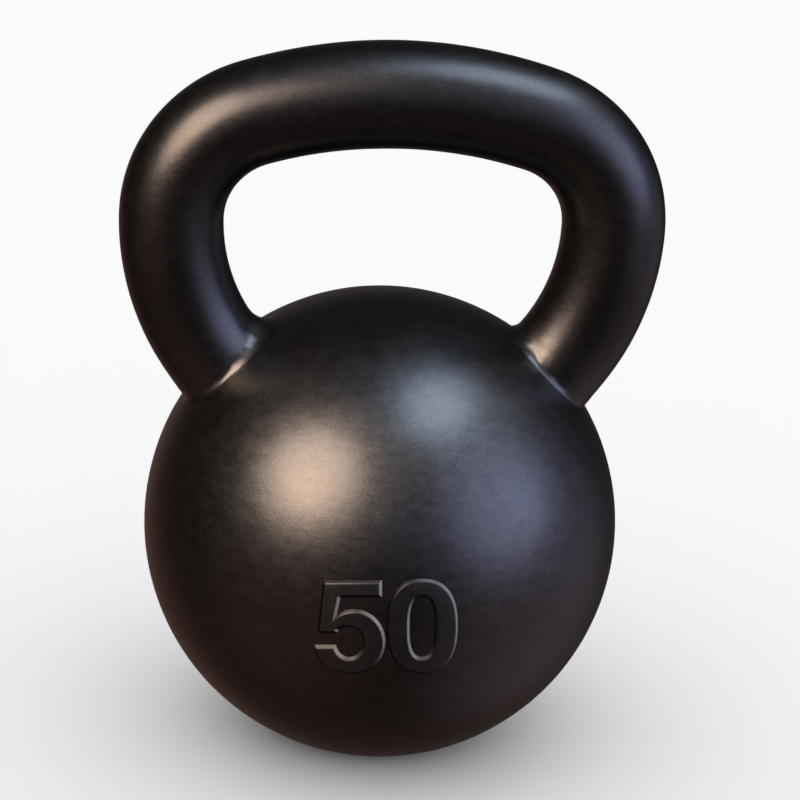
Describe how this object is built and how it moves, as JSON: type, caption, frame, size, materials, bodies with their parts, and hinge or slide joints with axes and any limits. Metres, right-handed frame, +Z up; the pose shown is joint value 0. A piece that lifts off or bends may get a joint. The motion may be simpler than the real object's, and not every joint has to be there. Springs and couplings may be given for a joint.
{
  "type": "kettlebell",
  "caption": "Black cast-iron kettlebell: a solid ball on a flat base, with a thick round bar bent into a wide looped handle and raised weight numerals on the front.",
  "frame": {"origin": "middle of the flat base, on the surface that the kettlebell stands on", "axes": "+Z up through the ball and the top of the handle, +X across the handle towards the right horn, -Y towards the side with the numerals"},
  "size_m": [0.1976, 0.176, 0.262],
  "materials": {
    "ball_iron": "satin",
    "handle_iron": "satin",
    "weld_iron": "satin",
    "numeral_iron": "satin"
  },
  "bodies": {
    "root": {"ball": "ball_iron", "handle": "handle_iron", "left_root_weld": "weld_iron", "right_root_weld": "weld_iron", "numeral_5": "numeral_iron", "numeral_0": "numeral_iron"}
  },
  "joints": []
}
